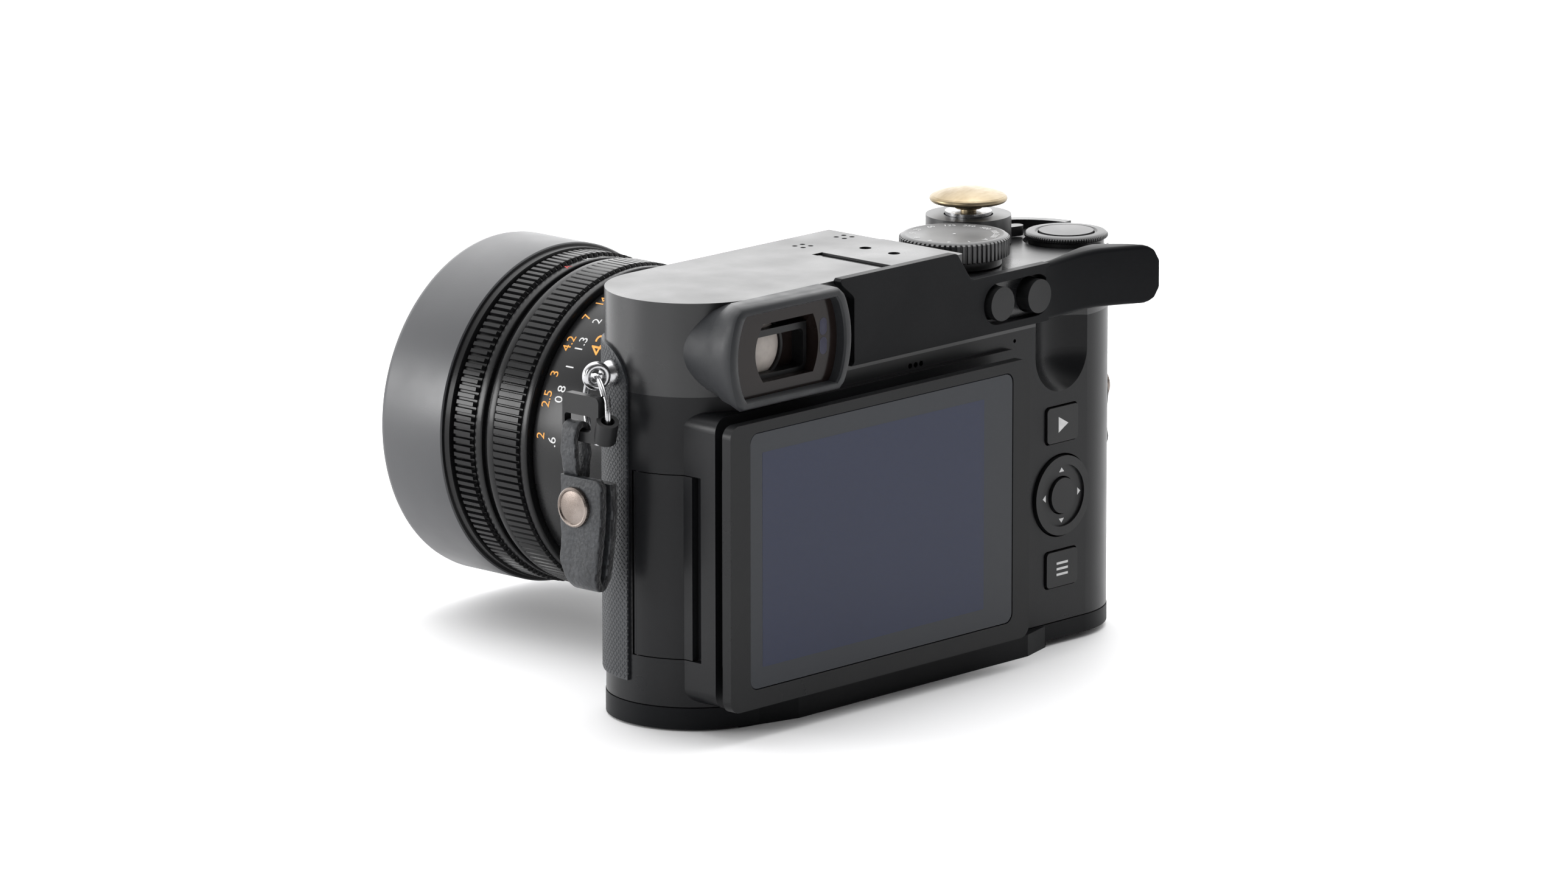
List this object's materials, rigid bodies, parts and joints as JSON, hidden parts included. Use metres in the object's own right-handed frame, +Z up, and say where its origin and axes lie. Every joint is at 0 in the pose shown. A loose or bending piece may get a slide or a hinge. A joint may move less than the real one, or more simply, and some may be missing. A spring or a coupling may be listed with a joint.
{
  "type": "rangefinder camera",
  "caption": "Compact digital camera in rangefinder style with fixed lens, hood, tilting display, eyecup, thumb rest, base plate and strap tabs.",
  "frame": {"origin": "mouth of the tripod socket at the middle of the underside", "axes": "+Z up, -Y towards the subject along the lens axis, +X to the viewer's left"},
  "size_m": [0.153, 0.1274, 0.0896],
  "materials": {
    "body_black": "matte black lacquered magnesium",
    "top_black": "matte black anodised aluminium",
    "accessory_black": "fine bead-blasted black anodise",
    "leatherette": "embossed diamond grain leatherette",
    "strap_leather": "pebbled grey-black leather",
    "rubber": "matte rubber",
    "lens_black": "semi-matte black anodised, engraved scales",
    "hood_grey": "satin dark grey anodised",
    "screen_glass": "gloss cover glass",
    "lens_glass": "coated optical glass",
    "lcd": "switched-off display",
    "polished_steel": "polished steel",
    "steel": "turned steel",
    "brass": "satin worn brass",
    "rivet_metal": "nickel-copper rivet cap",
    "plastic_black": "moulded black plastic",
    "board_green": "solder-masked circuit board",
    "battery_grey": "moulded battery case"
  },
  "bodies": {
    "camera": {"body_shell": "body_black", "top_cover": "top_black", "bottom_cover": "body_black", "leather_wrap": "leatherette", "base_plate": "accessory_black", "base_plate_screw": "steel", "display_frame": "body_black", "display_lower_pin": "steel", "eyecup": "rubber", "eyepiece_glass": "screen_glass", "viewfinder_module": "plastic_black", "thumb_rest": "accessory_black", "hot_shoe": "top_black", "lens_barrel": "lens_black", "lens_hood": "hood_grey", "front_bezel": "lens_black", "front_element": "lens_glass", "iris_unit": "lens_black", "rear_element": "lens_glass", "image_sensor": "board_green", "main_board": "board_green", "button_board": "board_green", "port_block": "plastic_black", "port_door_pin": "steel", "strap_lug_left": "polished_steel", "strap_lug_right": "polished_steel"},
    "display_arm": {"display_arm": "top_black", "display_upper_pin": "steel"},
    "display_panel": {"display_panel": "top_black", "display_glass": "screen_glass", "display_lcd": "lcd"},
    "shutter_button": {"shutter_button": "polished_steel", "soft_release": "brass"},
    "strap_ring_left": {"strap_ring_left": "polished_steel", "strap_link_left": "plastic_black"},
    "strap_ring_right": {"strap_ring_right": "polished_steel", "strap_link_right": "plastic_black"},
    "strap_tab_left": {"strap_tab_left": "strap_leather", "strap_rivet_left": "rivet_metal"},
    "strap_tab_right": {"strap_tab_right": "strap_leather", "strap_rivet_right": "rivet_metal"},
    "port_door": {"port_door": "body_black"},
    "macro_ring": {"macro_ring": "lens_black"},
    "focus_ring": {"focus_ring": "lens_black"},
    "aperture_ring": {"aperture_ring": "lens_black"},
    "focus_group": {"focus_group": "lens_glass"},
    "power_switch": {"power_switch": "top_black"},
    "speed_dial": {"speed_dial": "top_black"},
    "thumb_wheel": {"thumb_wheel": "top_black"},
    "thumb_wheel_button": {"thumb_wheel_button": "top_black"},
    "function_button_left": {"function_button_left": "plastic_black"},
    "function_button_right": {"function_button_right": "plastic_black"},
    "play_button": {"play_button": "plastic_black"},
    "menu_button": {"menu_button": "plastic_black"},
    "dpad_gimbal": {"dpad_gimbal": "steel"},
    "dpad_ring": {"dpad_ring": "plastic_black"},
    "dpad_center": {"dpad_center": "plastic_black"},
    "battery": {"battery": "battery_grey"},
    "battery_lever": {"battery_lever": "steel"}
  },
  "joints": [
    {"name": "display_tilt_down", "type": "hinge", "parent": "camera", "child": "display_arm", "pos_m": [0.02, 0.0202, 0.0095], "axis": [-1, 0, 0], "range_deg": [0, 45]},
    {"name": "display_tilt_up", "type": "hinge", "parent": "display_arm", "child": "display_panel", "pos_m": [0.02, 0.0216, 0.0602], "axis": [1, 0, 0], "range_deg": [0, 90]},
    {"name": "port_door_hinge", "type": "hinge", "parent": "camera", "child": "port_door", "pos_m": [0.0639, 0.0005, 0.0325], "axis": [0, 0, -1], "range_deg": [0, 62]},
    {"name": "macro_ring_turn", "type": "hinge", "parent": "camera", "child": "macro_ring", "pos_m": [0, -0.048, 0.039], "axis": [0, 1, 0], "range_deg": [0, 60]},
    {"name": "focus_ring_turn", "type": "hinge", "parent": "camera", "child": "focus_ring", "pos_m": [0, -0.065, 0.039], "axis": [0, 1, 0], "range_deg": [-60, 60]},
    {"name": "aperture_ring_turn", "type": "hinge", "parent": "camera", "child": "aperture_ring", "pos_m": [0, -0.076, 0.039], "axis": [0, 1, 0], "range_deg": [-65, 65]},
    {"name": "focus_group_slide", "type": "slide", "parent": "camera", "child": "focus_group", "axis": [0, -1, 0], "range_m": [-0.003, 0.003]},
    {"name": "shutter_press", "type": "slide", "parent": "camera", "child": "shutter_button", "axis": [0, 0, -1], "range_m": [0, 0.0015], "stiffness_N_per_m": 400, "springref_m": -0.002},
    {"name": "power_switch_turn", "type": "hinge", "parent": "camera", "child": "power_switch", "pos_m": [-0.0405, -0.008, 0.081], "axis": [0, 0, 1], "range_deg": [0, 40]},
    {"name": "speed_dial_turn", "type": "hinge", "parent": "camera", "child": "speed_dial", "pos_m": [-0.0234, 0.0036, 0.082], "axis": [0, 0, 1], "continuous": true},
    {"name": "thumb_wheel_turn", "type": "hinge", "parent": "camera", "child": "thumb_wheel", "pos_m": [-0.056, 0.0044, 0.079], "axis": [0, 0, 1], "continuous": true},
    {"name": "thumb_wheel_press", "type": "slide", "parent": "camera", "child": "thumb_wheel_button", "axis": [0, 0, -1], "range_m": [0, 0.0004], "stiffness_N_per_m": 400, "springref_m": -0.001},
    {"name": "function_button_left_press", "type": "slide", "parent": "camera", "child": "function_button_left", "axis": [0, -1, 0], "range_m": [0, 0.0006], "stiffness_N_per_m": 400, "springref_m": -0.001},
    {"name": "function_button_right_press", "type": "slide", "parent": "camera", "child": "function_button_right", "axis": [0, -1, 0], "range_m": [0, 0.0006], "stiffness_N_per_m": 400, "springref_m": -0.001},
    {"name": "play_button_press", "type": "slide", "parent": "camera", "child": "play_button", "axis": [0, -1, 0], "range_m": [0, 0.0006], "stiffness_N_per_m": 400, "springref_m": -0.001},
    {"name": "menu_button_press", "type": "slide", "parent": "camera", "child": "menu_button", "axis": [0, -1, 0], "range_m": [0, 0.0006], "stiffness_N_per_m": 400, "springref_m": -0.001},
    {"name": "dpad_tilt_vertical", "type": "hinge", "parent": "camera", "child": "dpad_gimbal", "pos_m": [-0.0403, 0.0132, 0.0305], "axis": [1, 0, 0], "range_deg": [-3, 3], "stiffness_Nm_per_rad": 0.05},
    {"name": "dpad_tilt_sideways", "type": "hinge", "parent": "dpad_gimbal", "child": "dpad_ring", "pos_m": [-0.0403, 0.0132, 0.0305], "axis": [0, 0, 1], "range_deg": [-3, 3], "stiffness_Nm_per_rad": 0.05},
    {"name": "dpad_center_press", "type": "slide", "parent": "dpad_ring", "child": "dpad_center", "axis": [0, -1, 0], "range_m": [0, 0.0004], "stiffness_N_per_m": 400, "springref_m": -0.001},
    {"name": "battery_eject", "type": "slide", "parent": "camera", "child": "battery", "axis": [0, 0, -1], "range_m": [0, 0.04]},
    {"name": "battery_lever_turn", "type": "hinge", "parent": "camera", "child": "battery_lever", "pos_m": [-0.031, -0.006, 0.002], "axis": [0, 0, 1], "range_deg": [0, 60]},
    {"name": "strap_ring_left_swing", "type": "hinge", "parent": "camera", "child": "strap_ring_left", "pos_m": [0.0694, -0.0052, 0.0692], "axis": [-0.4695, -0.8829, 0], "range_deg": [0, 40]},
    {"name": "strap_ring_right_swing", "type": "hinge", "parent": "camera", "child": "strap_ring_right", "pos_m": [-0.0694, -0.0052, 0.0692], "axis": [0.4695, 0.8829, 0], "range_deg": [0, 40]},
    {"name": "strap_tab_left_swing", "type": "hinge", "parent": "strap_ring_left", "child": "strap_tab_left", "pos_m": [0.0729, -0.0073, 0.0584], "axis": [0, -1, 0], "range_deg": [-1, 13]},
    {"name": "strap_tab_right_swing", "type": "hinge", "parent": "strap_ring_right", "child": "strap_tab_right", "pos_m": [-0.0729, -0.0031, 0.0584], "axis": [0, 1, 0], "range_deg": [-1, 13]}
  ],
  "couplings": [
    {"joint": "focus_group_slide", "follows": "focus_ring_turn", "m_per_rad": 0.00286}
  ]
}
